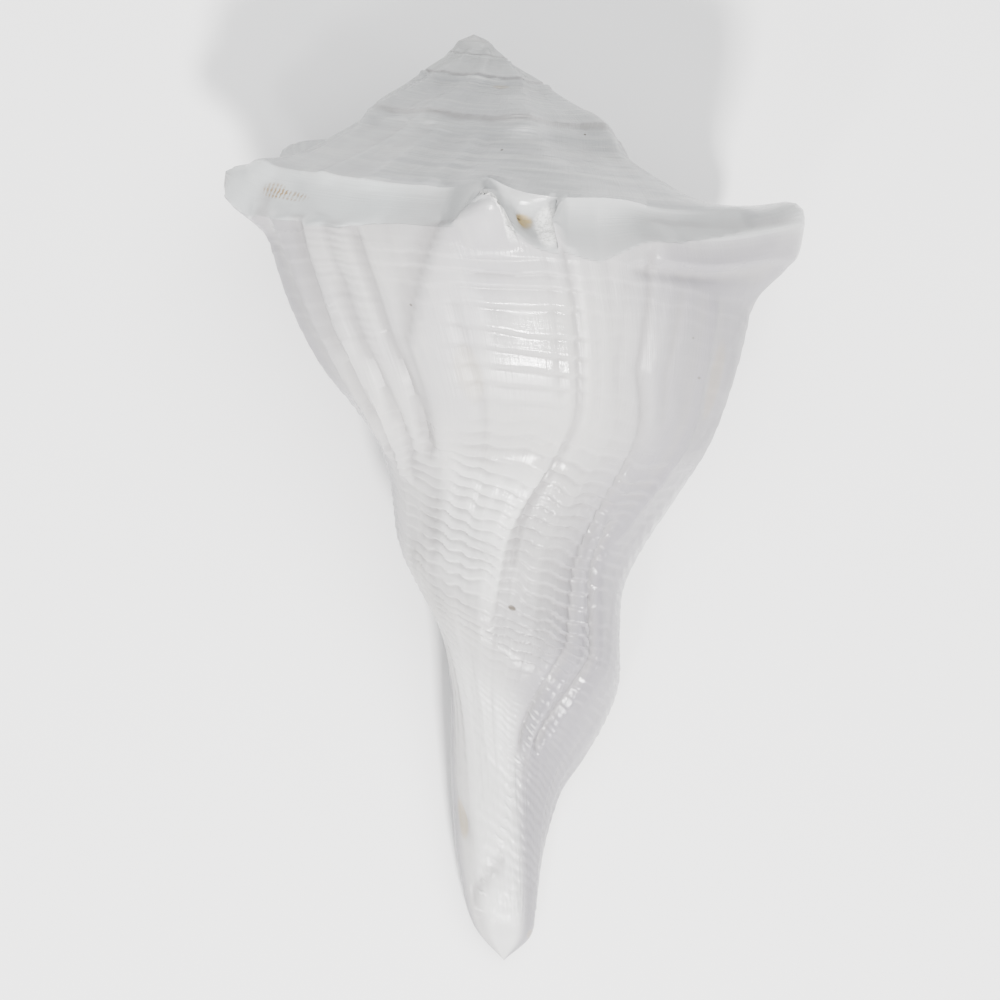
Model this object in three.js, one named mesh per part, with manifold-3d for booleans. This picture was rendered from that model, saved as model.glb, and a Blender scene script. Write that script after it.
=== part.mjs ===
// A left-handed knobbed whelk shell, sold as a conch: one grown piece, lying on its aperture.
// Millimetres, +Z up, +Y toward the apex, +X to the right seen from above.
//
// The shell is one wall wound on a log spiral. A point of its outside has two coordinates:
//   t      growth in turns: 0 at the lip, -1 one turn earlier, and so on back to the apex
//   place  position along the growing edge: 0 at the suture, KEEL on the knobs, TIP at the canal's end
// In the shell's own frame the apex is at the origin and the coiling axis runs along -Y.
import * as THREE from "three";
import { ParametricGeometry } from "three/addons/geometries/ParametricGeometry.js";
import { mergeGeometries, mergeVertices } from "three/addons/utils/BufferGeometryUtils.js";
import Module from "manifold-3d";

// ---- Driving dimensions ---------------------------------------------------------------------
const LENGTH = 165; // apex to canal tip
const LIP_ANGLE = 212; // of the keel at the lip, about the axis; 0 is left, 90 is the back, 180 right
const TURNS = 4.5; // whorls above the body whorl's start
const TURN_GROWTH = 2; // how much the spire grows in one turn
const COLUMNS = 60; // facets in one turn
const BODY_ROWS = 24; // facets from keel to tip
const RAMP_ROWS = 5; // facets from suture to the line where the next whorl joins
const CAVITY_COLUMNS = 17; // facets along the hollow
const CAVITY_DEPTH = 0.88; // turns that the hollow runs back from the lip
const LIP_WALL = 1.4; // wall at the lip
const INNER_WALL = 2.8; // wall deep inside
const WALL_THICKENS = 0.25; // turns over which the wall grows from one to the other
const GLAZE = 0.4; // shell laid over the older whorl inside the hollow
const CANAL_BEND = 5.3; // how far the canal tip swings right of the axis
const CANAL_START = 89; // where that bend begins, down the axis
const CANAL_CURVE = 1.5; // how the bend gathers toward the tip

// Growing edge from the keel to the tip: [down the axis, out from the axis],
// where it passes the right side of the body whorl, and half a turn earlier on the left.
const RIGHT_ANGLE = 180;
const RIGHT_EDGE = [
  [37.5, 50], [39.2, 49.8], [44, 49.5], [52, 48.3], [62, 45.7], [72, 41.8], [81, 35.8],
  [89.4, 30], [97, 26.1], [105, 25], [113.4, 24.3], [119, 21.8], [125, 17.6], [131, 13],
  [138, 10.2], [148, 8.1], [156, 6.6], [160.6, 5.2], [LENGTH, 0],
];
const LEFT_EDGE = [
  [26.5, 35.4], [27.9, 35.3], [33, 36], [40, 34.3], [48, 31.4], [57, 26.5], [64, 20.9],
  [69, 17.2], [74.5, 15], [80.5, 14], [87, 13], [92, 10.8], [97.4, 7.7], [103.5, 5.9],
  [113, 5], [130, 6.2], [148, 6.4], [158.5, 4.6], [LENGTH, 0],
];
// The column that the open canal winds round, and how fully the edge sinks to it beside the canal.
const COLUMN_RADIUS = [0, 0, 0, 0, 0, 0, 0, 0, 0, 3.4, 3.2, 3, 3, 3, 3, 3, 2.6, 1.8, 0];
const CANAL_OPEN = [0, 0, 0, 0, 0, 0, 0, 0, 0, 0, 0, 0.2, 0.5, 0.8, 1, 1, 1, 1, 1];
const CANAL_RISE = 0.2; // turns over which the edge climbs from the column to its full radius
const COLUMN_BLEND = 1.2; // softness of the meeting of canal and column
// The sloping ramp above the keel: share of the way from suture to keel, [down, out].
const RAMP = [[0.24, 0.15], [0.5, 0.47], [0.8, 0.82]];
const KEEL = RAMP.length + 1;
const JOIN = KEEL + 1; // the next whorl's suture lies just below the keel
const TIP = RAMP.length + RIGHT_EDGE.length;
// A growth line isn't level: degrees by which it runs ahead, from suture to tip.
const LEAD = [24, 18, 11, 4, 0, 0, 2, 5, 8, 11, 10, 6, 2, -1, -4, -6, -6, -5, -3, -1, 0, 0, 0];
const SPIRE_SLIM = 0.11; // the older spire is this much shorter than the plain spiral
const DOME_FLATTEN = 0.5; // how much the very first whorls flatten into the apex's dome
const DOME_RADIUS = 3;

// Knobs on the body whorl's keel: where, how far out and up, and how far they reach, in degrees
// before and after along the keel and in mm above and below it.
const KNOBS = [
  { angle: -107, out: 4, up: 2, before: 11, after: 10, above: 5, below: 4 },
  { angle: -70, out: 7, up: 3, before: 13, after: 11, above: 6, below: 4.5 },
  { angle: -34, out: 8, up: 3.2, before: 14, after: 12, above: 7, below: 4.5 },
  { angle: 4, out: 9, up: 1.5, before: 15, after: 20, above: 7, below: 6.5 },
  { angle: 48, out: 1.5, up: 0.5, before: 12, after: 12, above: 6, below: 5 },
  { angle: 90, out: 7.5, up: 5, before: 11, after: 7, above: 7, below: 5 },
  { angle: 126, out: 1.5, up: 3, before: 9, after: 9, above: 5, below: 5 },
  { angle: 177, out: 8.2, up: 4.7, before: 20, after: 14, above: 8, below: 8 },
  { angle: 214, out: 5, up: 3, before: 12, after: 12, above: 7, below: 6 },
];
const SPIRE_KNOBS = { perTurn: 8.6, out: 5.5, up: 1.6, above: 6, below: 4 };
const KNOBS_CHANGE = [-1.02, -0.92]; // growth over which the spire's low knobs give way to these
const CREST_SQUARE = 2.2; // how square a knob is along the keel
const FLANK_SQUARE = 2.6; // and how square across it

// ---- How the shell lies ---------------------------------------------------------------------
const REST_TURNS = [13.715, -12.818, 0]; // degrees about x, y, z from back-up to lying on the table
const WORN_FLAT = 0.6; // depth rubbed flat where the shell touches the table

const { clamp, smoothstep, degToRad } = THREE.MathUtils;
const bell = (distance, width, power) => Math.exp(-((Math.abs(distance) / width) ** power));

// ---- The knobs ------------------------------------------------------------------------------

// How far the knobs push a point near the keel up and out, off mm below the keel line.
function knobs(growth, off) {
  const angle = LIP_ANGLE + 360 * growth;
  const body = smoothstep(growth, ...KNOBS_CHANGE);
  const push = { up: 0, out: 0 };
  for (const knob of KNOBS) {
    const turn = angle - knob.angle;
    const rise = bell(turn, turn < 0 ? knob.before : knob.after, CREST_SQUARE)
      * bell(off, off < 0 ? knob.above : knob.below, FLANK_SQUARE) * body;
    push.up += knob.up * rise;
    push.out += knob.out * rise;
  }
  const scale = TURN_GROWTH ** growth;
  const wave = (0.5 + 0.5 * Math.cos(growth * SPIRE_KNOBS.perTurn * 2 * Math.PI)) ** 2;
  const reach = scale * (off < 0 ? SPIRE_KNOBS.above : SPIRE_KNOBS.below);
  const low = scale * wave * bell(off, reach, CREST_SQUARE) * (1 - body);
  push.up += SPIRE_KNOBS.up * low;
  push.out += SPIRE_KNOBS.out * low;
  return push;
}

// ---- The growing edge -----------------------------------------------------------------------
const RIGHT_T = (RIGHT_ANGLE - LIP_ANGLE) / 360;

// Radius of one edge point, sunk to the column beside the open canal.
function edgeRadius(full, index, t) {
  const column = COLUMN_RADIUS[index];
  const sink = CANAL_OPEN[index] * (1 - smoothstep(t, -1, -1 + CANAL_RISE));
  const radius = full + (Math.min(full, column) - full) * sink;
  if (!column) return radius;
  return COLUMN_BLEND * Math.log(Math.exp(radius / COLUMN_BLEND) + Math.exp(column / COLUMN_BLEND));
}

// One edge point, keel to tip, at growth t: both sides of the body whorl carried on in proportion.
function edgePoint(index, t) {
  const [down, out] = RIGHT_EDGE[index];
  if (index <= JOIN - KEEL) {
    const scale = TURN_GROWTH ** (t - RIGHT_T);
    const slim = 1 - SPIRE_SLIM * smoothstep(RIGHT_T - t, 0, 1);
    const dome = 1 - DOME_FLATTEN * bell(out * scale, DOME_RADIUS, 2);
    return [down * scale * slim * dome, out * scale];
  }
  const halfTurns = 2 * (RIGHT_T - t);
  const [leftDown, leftOut] = LEFT_EDGE[index];
  const radius = out && out * (leftOut / out) ** halfTurns;
  return [down * (leftDown / down) ** halfTurns, edgeRadius(radius, index, t)];
}

// Where the whorl at growth t carries the suture of the next whorl, its knobs included.
function joinPoint(t) {
  const [down, out] = edgePoint(JOIN - KEEL, t);
  const [keelDown, keelOut] = edgePoint(0, t);
  const push = knobs(t, Math.hypot(down - keelDown, out - keelOut));
  return [down - push.up, out + push.out];
}

// All landmarks of the growing edge at growth t, suture to tip, as [down, out].
function edge(t) {
  const suture = joinPoint(t - 1);
  const keel = edgePoint(0, t);
  const ramp = RAMP.map(([down, out]) => [
    suture[0] + (keel[0] - suture[0]) * down,
    suture[1] + (keel[1] - suture[1]) * out,
  ]);
  return [suture, ...ramp, ...RIGHT_EDGE.map((_, index) => edgePoint(index, t))];
}

// A point on the smooth curve through the landmarks.
function along(points, place) {
  const last = points.length - 1;
  const start = clamp(Math.floor(place), 0, last - 1);
  const at = (index) => new THREE.Vector2(...points[clamp(index, 0, last)]);
  const [p1, p2] = [at(start), at(start + 1)];
  const p0 = start > 0 ? at(start - 1) : p1.clone().multiplyScalar(2).sub(p2);
  const p3 = start + 2 <= last ? at(start + 2) : p2.clone().multiplyScalar(2).sub(p1);
  const gap = (a, b) => Math.sqrt(Math.max(a.distanceTo(b), 1e-4));
  const [d0, d1, d2] = [gap(p0, p1), gap(p1, p2), gap(p2, p3)];
  const slope = (a, b, c, first, second) =>
    b.clone().sub(a).divideScalar(first)
      .sub(c.clone().sub(a).divideScalar(first + second))
      .add(c.clone().sub(b).divideScalar(second))
      .multiplyScalar(d1);
  const m1 = slope(p0, p1, p2, d0, d1);
  const m2 = slope(p1, p2, p3, d1, d2);
  const w = place - start;
  const [w2, w3] = [w * w, w * w * w];
  return p1.clone().multiplyScalar(2 * w3 - 3 * w2 + 1)
    .addScaledVector(m1, w3 - 2 * w2 + w)
    .addScaledVector(p2, 3 * w2 - 2 * w3)
    .addScaledVector(m2, w3 - w2);
}

const LEAD_POINTS = LEAD.map((degrees, index) => [index, degrees / 360]);
const lead = (place) => along(LEAD_POINTS, place).y;

// ---- The outside ----------------------------------------------------------------------------

// The outside in the half-plane at one growth: [down, out], with or without its knobs.
function outline(growth, place, withKnobs = true) {
  const points = edge(growth);
  const point = along(points, place);
  if (!withKnobs) return point;
  const off = point.distanceTo(new THREE.Vector2(...points[KEEL])) * Math.sign(place - KEEL);
  const push = knobs(growth, off);
  const free = smoothstep(place, 0, 1);
  return point.add(new THREE.Vector2(-push.up * free, push.out * free));
}

// From down the axis, out from the axis and growth to a place in the shell's frame.
function inSpace({ x: down, y: out }, growth, target = new THREE.Vector3()) {
  const angle = degToRad(LIP_ANGLE + 360 * growth);
  const share = Math.max(0, (down - CANAL_START) / (LENGTH - CANAL_START));
  const bend = CANAL_BEND * share ** CANAL_CURVE;
  return target.set(-out * Math.cos(angle) + bend, -down, out * Math.sin(angle));
}

const outside = (t, place, target) => inSpace(outline(t + lead(place), place), t + lead(place), target);

// ---- The hollow -----------------------------------------------------------------------------
const SUTURE_LEAD = LEAD[0] / 360;
const INWARD_SPAN = 1.2; // landmarks either way that set the inward direction, so corners stay soft
const LEAST_GAP = 0.35; // share of the room between whorls that the wall always leaves open
const KNOB_HOLLOW = 0.1; // turns behind the lip in which the hollow still follows the knobs
const CANAL_CLOSE = 0.42; // turns over which the hollow draws back up from the canal tip
const CANAL_DRAWN = 9.5; // landmarks by which it has then drawn back
const TOP_DROP = 1.1; // landmarks below the join where the older whorl shows inside
const LIP_BLEND = 0.06; // turns behind the lip over which the hollow takes on its own form
const TIP_TAPER = 2.5; // landmarks over which the wall thins away at the canal tip
const MEETING = 0.85; // share of the way down at which the two faces start to close on each other
const END_ROUND = 0.8; // share of the hollow's depth at which it starts to round off

// How far down the edge the hollow reaches, and where the older whorl starts to show in it.
const hollowEnd = (t) => TIP - CANAL_DRAWN * smoothstep(-t, 0, CANAL_CLOSE);
const hollowTop = (t) => JOIN + TOP_DROP * smoothstep(-t, 0, LIP_BLEND);

// The inner face of the wall, one wall's thickness inside the outside.
function wallFace(t, place) {
  const growth = t + lead(place);
  const points = edge(growth);
  const ahead = along(points, Math.min(place + INWARD_SPAN, TIP));
  const behind = along(points, Math.max(place - INWARD_SPAN, 0));
  const run = ahead.sub(behind).normalize();
  const plain = outline(growth, place, false);
  const face = outline(growth, place).lerp(plain, smoothstep(-t, 0, KNOB_HOLLOW));
  const wall = LIP_WALL + (INNER_WALL - LIP_WALL) * smoothstep(-t, 0, WALL_THICKENS);
  face.addScaledVector(new THREE.Vector2(run.y, -run.x), wall * smoothstep(TIP - place, 0, TIP_TAPER));
  const column = outline(growth - 1, place, false);
  face.y = Math.max(face.y, column.y + LEAST_GAP * (plain.y - column.y));
  return inSpace(face, growth);
}

// The older whorl as seen inside the hollow, under its glaze; share runs from the top to the end.
function olderFace(t, share) {
  const place = hollowTop(t) + (hollowEnd(t) - hollowTop(t)) * share;
  const growth = t + SUTURE_LEAD - 1 + lead(place);
  const face = outline(growth, place);
  face.y += GLAZE * smoothstep(-t, 0, LIP_BLEND) * smoothstep(TIP - place, 0, TIP_TAPER);
  return inSpace(face, growth);
}

// One ring of the hollow at growth t: down the wall's inner face, then back up the older whorl.
const WALL_ROWS = RAMP_ROWS + BODY_ROWS;
const RING_ROWS = WALL_ROWS + BODY_ROWS;
const placeOf = (row, end) =>
  row <= RAMP_ROWS ? (JOIN * row) / RAMP_ROWS : JOIN + ((end - JOIN) * (row - RAMP_ROWS)) / BODY_ROWS;

function ringPoint(t, row) {
  const end = hollowEnd(t);
  const share = (RING_ROWS - row) / BODY_ROWS;
  if (row === 0 || row === RING_ROWS) return olderFace(t, 0);
  const point = row <= WALL_ROWS ? wallFace(t, placeOf(row, end)) : olderFace(t, share);
  const meeting = wallFace(t, end).lerp(olderFace(t, 1), 0.5);
  const nearEnd = 1 - Math.abs(row - WALL_ROWS) / BODY_ROWS;
  return point.lerp(meeting, smoothstep(nearEnd, MEETING, 1) * smoothstep(-t, 0, LIP_BLEND));
}

// The hollow narrows to a round end deep inside.
function hollow(depth, row) {
  const t = -CAVITY_DEPTH * depth;
  const [wallMiddle, olderMiddle] = [-1, 1].map((side) => ringPoint(t, WALL_ROWS + (side * BODY_ROWS) / 2));
  const middle = wallMiddle.lerp(olderMiddle, 0.5);
  const narrow = 1 - Math.sqrt(1 - clamp((depth - END_ROUND) / (1 - END_ROUND), 0, 1) ** 2);
  return ringPoint(t, row).lerp(middle, narrow);
}

// ---- The closed surface ---------------------------------------------------------------------
const GRID = 0.002; // points are rounded to this, so that patches meet exactly
const APEX = new THREE.Vector3();
const FIRST_T = -TURNS;
const BODY_T = SUTURE_LEAD - 1; // the growth line through the lip's upper corner

// A patch of the surface from a function of two whole-number steps.
function patch(point, columns, rows) {
  return new ParametricGeometry((u, v, target) => {
    target.copy(point(Math.round(u * columns), Math.round(v * rows)));
    target.divideScalar(GRID).round().multiplyScalar(GRID);
  }, columns, rows);
}

function closedShell() {
  const spireColumns = Math.round(TURNS * COLUMNS);
  const bodyColumns = Math.round(-BODY_T * COLUMNS);
  const apexFan = (t, place, share) => outside(t, place).lerp(APEX, share);
  const rampPlace = (row) => (JOIN * row) / RAMP_ROWS;
  const patches = [
    patch((column, row) => outside(-column / COLUMNS, rampPlace(row)), spireColumns, RAMP_ROWS),
    patch((column, row) => outside(-column / COLUMNS, placeOf(row + RAMP_ROWS, TIP)), bodyColumns, BODY_ROWS),
    patch((column, row) => hollow(1 - column / CAVITY_COLUMNS, row), CAVITY_COLUMNS, RING_ROWS),
    patch((column, row) => (column ? outside(0, placeOf(row, TIP)) : ringPoint(0, row)), 1, WALL_ROWS),
    patch((column, row) => apexFan(FIRST_T + (bodyColumns - column) / COLUMNS, 0, 1 - row), bodyColumns, 1),
    patch((column, row) => apexFan(FIRST_T, rampPlace(row), column), 1, RAMP_ROWS),
  ];
  const merged = mergeGeometries(patches);
  merged.deleteAttribute("normal");
  merged.deleteAttribute("uv");
  const whole = mergeVertices(merged, GRID / 2);
  const kept = [];
  for (let corner = 0; corner < whole.index.count; corner += 3) {
    const [a, b, c] = [0, 1, 2].map((step) => whole.index.getX(corner + step));
    if (a !== b && b !== c && c !== a) kept.push(a, b, c);
  }
  whole.setIndex(kept);
  return whole;
}

// ---- Laid on the table ----------------------------------------------------------------------
const { Manifold, Mesh } = await Module().then((wasm) => (wasm.setup(), wasm));

function solidOf(geometry) {
  const vertProperties = new Float32Array(geometry.attributes.position.array);
  return new Manifold(new Mesh({ numProp: 3, vertProperties, triVerts: new Uint32Array(geometry.index.array) }));
}

function geometryOf(solid) {
  const { vertProperties, triVerts } = solid.getMesh();
  const geometry = new THREE.BufferGeometry();
  geometry.setAttribute("position", new THREE.BufferAttribute(vertProperties, 3));
  geometry.setIndex(new THREE.BufferAttribute(triVerts, 1));
  return geometry;
}

// The shell turned to lie as it rests, with the touching places worn flat in the plane of the table.
function restingShell() {
  const [x, y, z] = REST_TURNS.map(degToRad);
  const laid = closedShell();
  laid.applyMatrix4(new THREE.Matrix4().makeRotationFromEuler(new THREE.Euler(x, y, z, "XYZ")));
  laid.computeBoundingBox();
  const { min, max } = laid.boundingBox;
  laid.translate(-(min.x + max.x) / 2, -(min.y + max.y) / 2, -min.z - WORN_FLAT);
  const box = new THREE.BoxGeometry(3 * LENGTH, 3 * LENGTH, LENGTH).translate(0, 0, -LENGTH / 2);
  const table = mergeVertices(box.deleteAttribute("normal").deleteAttribute("uv"));
  return geometryOf(solidOf(laid).subtract(solidOf(table)));
}

const shell = new THREE.Mesh(
  restingShell(),
  new THREE.MeshStandardMaterial({ color: "#ece9e6", roughness: 0.3, metalness: 0 }),
);
shell.name = "shell";

const part = new THREE.Group();
part.add(shell);
export default part;
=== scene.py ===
# A white, polished, left-handed conch shell lying on its open side.
#
# The shell is one wall wound on a spiral. A point of its outside has two coordinates:
#   t      growth in turns: 0 at the lip, -1 one turn earlier, and so on back to the apex
#   place  position along the growing edge: 0 at the suture, KEEL on the knobs, TIP at the canal's end
# The form's lengths are in mm in the shell's own frame, with the apex at the origin and the coiling
# axis along -Y. They become metres where the shell is laid on the table.
from functools import partial, reduce
from math import radians

import bpy
import numpy as np
from bpy.props import FloatProperty, FloatVectorProperty, PointerProperty
from mathutils import Matrix, Vector


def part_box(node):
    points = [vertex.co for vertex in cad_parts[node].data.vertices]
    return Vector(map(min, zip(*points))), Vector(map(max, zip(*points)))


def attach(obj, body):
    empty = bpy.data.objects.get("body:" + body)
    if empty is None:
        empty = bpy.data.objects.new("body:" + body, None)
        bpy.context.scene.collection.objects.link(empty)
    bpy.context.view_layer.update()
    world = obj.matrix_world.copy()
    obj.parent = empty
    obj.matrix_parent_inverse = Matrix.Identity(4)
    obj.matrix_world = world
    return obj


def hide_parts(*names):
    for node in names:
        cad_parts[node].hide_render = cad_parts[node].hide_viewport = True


bl_info = {
    "name": "Conch Shell",
    "version": (1, 0, 0),
    "blender": (4, 5, 0),
    "location": "View3D > Sidebar > Conch",
    "description": "Grows a left-handed conch shell and sets it on a table",
    "category": "Add Mesh",
}

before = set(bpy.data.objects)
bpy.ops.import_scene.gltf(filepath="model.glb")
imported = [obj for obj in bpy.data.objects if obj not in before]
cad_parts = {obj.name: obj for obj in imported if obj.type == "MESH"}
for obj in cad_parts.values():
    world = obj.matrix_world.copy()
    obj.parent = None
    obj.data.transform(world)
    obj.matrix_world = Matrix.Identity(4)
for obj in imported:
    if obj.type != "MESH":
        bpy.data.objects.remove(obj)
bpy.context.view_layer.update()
CAD_LOW, CAD_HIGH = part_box("shell")

MM = 0.001
LENGTH = 165.0  # apex to canal tip
LIP_ANGLE = 212.0  # degrees round the axis
TURN_GROWTH = 2.0  # each turn is this many times larger than the one before
CANAL_BEND = 5.3  # how far the canal's tip bends aside
CANAL_START = 89.0  # how far down that bend starts
GLAZE = 0.4  # laid on the older whorl inside the hollow
CAVITY_DEPTH = 0.88  # turns from the lip to the hollow's end
REST_TURNS = (13.715, -12.818)  # degrees about X and Y, as the shell lies

# The landmarks of the edge, (down, out), where it stands furthest right and half a turn before that.
RIGHT_T = (180.0 - LIP_ANGLE) / 360
RIGHT_EDGE = np.array([
    (37.5, 50), (39.2, 49.8), (44, 49.5), (52, 48.3), (62, 45.7), (72, 41.8), (81, 35.8),
    (89.4, 30), (97, 26.1), (105, 25), (113.4, 24.3), (119, 21.8), (125, 17.6), (131, 13),
    (138, 10.2), (148, 8.1), (156, 6.6), (160.6, 5.2), (LENGTH, 0),
])
LEFT_EDGE = np.array([
    (26.5, 35.4), (27.9, 35.3), (33, 36), (40, 34.3), (48, 31.4), (57, 26.5), (64, 20.9),
    (69, 17.2), (74.5, 15), (80.5, 14), (87, 13), (92, 10.8), (97.4, 7.7), (103.5, 5.9),
    (113, 5), (130, 6.2), (148, 6.4), (158.5, 4.6), (LENGTH, 0),
])
# For each landmark: the radius of the column it is wound on, and how far the canal is open there.
COLUMN_RADIUS = np.array([0, 0, 0, 0, 0, 0, 0, 0, 0, 3.4, 3.2, 3, 3, 3, 3, 3, 2.6, 1.8, 0])
CANAL_OPEN = np.array([0, 0, 0, 0, 0, 0, 0, 0, 0, 0, 0, 0.2, 0.5, 0.8, 1, 1, 1, 1, 1])
CANAL_RISE = 0.2  # turns over which the canal's older side rises to the outside
COLUMN_BLEND = 1.2  # how softly the edge settles on the column
# The ramp's landmarks, as shares of the way from the suture to the keel, (down, out).
RAMP = np.array([(0.24, 0.15), (0.5, 0.47), (0.8, 0.82)])
KEEL = len(RAMP) + 1
JOIN = KEEL + 1
TIP = len(RAMP) + len(RIGHT_EDGE)
# How many degrees ahead of the keel a growth line runs at each landmark.
LEAD = np.array([
    24, 18, 11, 4, 0, 0, 2, 5, 8, 11, 10, 6, 2, -1, -4, -6, -6, -5, -3, -1, 0, 0, 0,
]) / 360
SUTURE_LEAD = LEAD[0]
SPIRE_SLIM = 0.11  # how much lower the spire is than plain growth makes it
DOME_FLATTEN = 0.5  # how much flatter the apex is
DOME_RADIUS = 3.0

# Knobs of the body whorl: angle, out, up, before, after, above, below, how square they are along the
# keel and how square below it.
KNOBS = [
    (-107, 4, 2, 11, 10, 5, 4, 2.2, 2.6),
    (-70, 7, 3, 13, 11, 6, 4.5, 2.2, 2.6),
    (-34, 8, 3.2, 14, 12, 7, 4.5, 2.2, 2.6),
    (4, 9, 1.5, 15, 20, 7, 7.5, 2.2, 4.0),
    (48, 1.5, 0.5, 12, 12, 6, 5, 2.2, 2.6),
    (93.5, 7.5, 3.6, 5.2, 6, 7, 5, 1.35, 2.6),
    (126, 1.5, 3, 9, 9, 5, 5, 2.2, 2.6),
    (177, 8.2, 4.7, 20, 14, 8, 8, 2.2, 4.0),
    (214, 5, 3, 12, 12, 7, 6, 2.2, 2.6),
]
SPIRE_KNOBS = dict(per_turn=8.6, out=5.5, up=1.6, above=6.0, below=4.0)
KNOBS_CHANGE = (-1.02, -0.92)  # growth over which the spire's knobs give way to the body's
CREST_SQUARE = 2.6  # how square a knob is above the keel
SPIRE_SQUARE = 2.2  # and how square the spire's knobs are


def smooth(value, low=0.0, high=1.0):
    share = np.clip((value - low) / (high - low), 0, 1)
    return share * share * (3 - 2 * share)


def bell(distance, width, power):
    return np.exp(-(np.abs(distance) / width) ** power)


def mix(a, b, share):
    return a + (b - a) * share


def unit(vectors):
    return vectors / np.maximum(np.linalg.norm(vectors, axis=-1, keepdims=True), 1e-9)


def paired(*values):
    """The values as float arrays of one shape."""
    return np.broadcast_arrays(*(np.asarray(value, float) for value in values))


# ---- The growing edge ----

def knobs(growth, off):
    """How far the knobs push a point near the keel, (down, out), off mm below the keel line."""
    angle = LIP_ANGLE + 360 * growth
    body = smooth(growth, *KNOBS_CHANGE)
    up = np.zeros(np.broadcast(growth, off).shape)
    out = up.copy()
    for at, far, high, before, after, above, below, crest, foot in KNOBS:
        turn = angle - at
        rise = bell(turn, np.where(turn < 0, before, after), crest)
        square = np.where(off < 0, CREST_SQUARE, foot)
        rise = rise * bell(off, np.where(off < 0, above, below), square) * body
        up += high * rise
        out += far * rise
    scale = TURN_GROWTH ** growth
    wave = (0.5 + 0.5 * np.cos(growth * SPIRE_KNOBS["per_turn"] * 2 * np.pi)) ** 2
    reach = scale * np.where(off < 0, SPIRE_KNOBS["above"], SPIRE_KNOBS["below"])
    low = scale * wave * bell(off, reach, SPIRE_SQUARE) * (1 - body)
    return np.stack([-up - SPIRE_KNOBS["up"] * low, out + SPIRE_KNOBS["out"] * low], -1)


def keel_points(t):
    """The keel point and the join point just below it, at growth t."""
    scale = TURN_GROWTH ** (t - RIGHT_T)
    slim = 1 - SPIRE_SLIM * smooth(RIGHT_T - t)
    out = RIGHT_EDGE[:2, 1] * scale[..., None]
    dome = 1 - DOME_FLATTEN * bell(out, DOME_RADIUS, 2)
    return np.stack([RIGHT_EDGE[:2, 0] * (scale * slim)[..., None] * dome, out], -1)


def edge(t):
    """All landmarks of the growing edge at growth t, suture to tip, as (down, out)."""
    old = keel_points(t - 1)
    reach = np.hypot(*np.moveaxis(old[..., 1, :] - old[..., 0, :], -1, 0))
    suture = old[..., 1, :] + knobs(t - 1, reach)
    top = keel_points(t)
    ramp = suture[..., None, :] + (top[..., :1, :] - suture[..., None, :]) * RAMP
    half_turns = 2 * (RIGHT_T - t)[..., None]
    right, left = RIGHT_EDGE[2:], LEFT_EDGE[2:]
    down = right[:, 0] * (left[:, 0] / right[:, 0]) ** half_turns
    thick = np.maximum(right[:, 1], 1e-9)
    full = right[:, 1] * (np.maximum(left[:, 1], 1e-9) / thick) ** half_turns
    column = COLUMN_RADIUS[2:]
    sink = CANAL_OPEN[2:] * (1 - smooth(t, -1, -1 + CANAL_RISE))[..., None]
    radius = full + (np.minimum(full, column) - full) * sink
    blended = COLUMN_BLEND * np.logaddexp(radius / COLUMN_BLEND, column / COLUMN_BLEND)
    radius = np.where(column > 0, blended, radius)
    body = np.stack([down, radius], -1)
    return np.concatenate([suture[..., None, :], ramp, top, body], -2)


def along(points, place):
    """A point on the smooth curve through the landmarks (a centripetal Catmull-Rom curve)."""
    last = points.shape[-2] - 1
    start = np.clip(np.floor(place).astype(int), 0, last - 1)
    first = 2 * points[..., :1, :] - points[..., 1:2, :]
    final = 2 * points[..., -1:, :] - points[..., -2:-1, :]
    padded = np.concatenate([first, points, final], -2)

    def at(step):
        index = np.broadcast_to((start + step)[..., None, None], (*start.shape, 1, 2))
        return np.take_along_axis(padded, index, -2)[..., 0, :]

    def gap(a, b):
        return np.sqrt(np.maximum(np.linalg.norm(a - b, axis=-1, keepdims=True), 1e-4))

    p0, p1, p2, p3 = (at(step) for step in range(4))
    d0, d1, d2 = gap(p0, p1), gap(p1, p2), gap(p2, p3)
    m1 = ((p1 - p0) / d0 - (p2 - p0) / (d0 + d1) + (p2 - p1) / d1) * d1
    m2 = ((p2 - p1) / d1 - (p3 - p1) / (d1 + d2) + (p3 - p2) / d2) * d1
    w = (place - start)[..., None]
    w2, w3 = w * w, w * w * w
    return (p1 * (2 * w3 - 3 * w2 + 1) + m1 * (w3 - 2 * w2 + w)
            + p2 * (3 * w2 - 2 * w3) + m2 * (w3 - w2))


def lead(place):
    """How far ahead, in turns, a growth line runs at this place."""
    table = np.stack([np.arange(TIP + 1.0), LEAD], -1)
    place = np.asarray(place, float)
    return along(np.broadcast_to(table, (*place.shape, *table.shape)), place)[..., 1]


def outline(growth, place, with_knobs=True):
    """The outside in the half-plane at one growth: (down, out)."""
    growth, place = paired(growth, place)
    points = edge(growth)
    point = along(points, place)
    if with_knobs:
        off = np.linalg.norm(point - points[..., KEEL, :], axis=-1) * np.sign(place - KEEL)
        point = point + knobs(growth, off) * smooth(place)[..., None]
    return point


def in_space(point, growth):
    """From (down, out) and growth to a place in the shell's frame."""
    down, out = point[..., 0], point[..., 1]
    angle = np.radians(LIP_ANGLE + 360 * growth)
    bend = CANAL_BEND * np.clip((down - CANAL_START) / (LENGTH - CANAL_START), 0, None) ** 1.5
    return np.stack([-out * np.cos(angle) + bend, -down, out * np.sin(angle)], -1)


def outside(t, place):
    t, place = paired(t, place)
    growth = t + lead(place)
    return in_space(outline(growth, place), growth)


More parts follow.
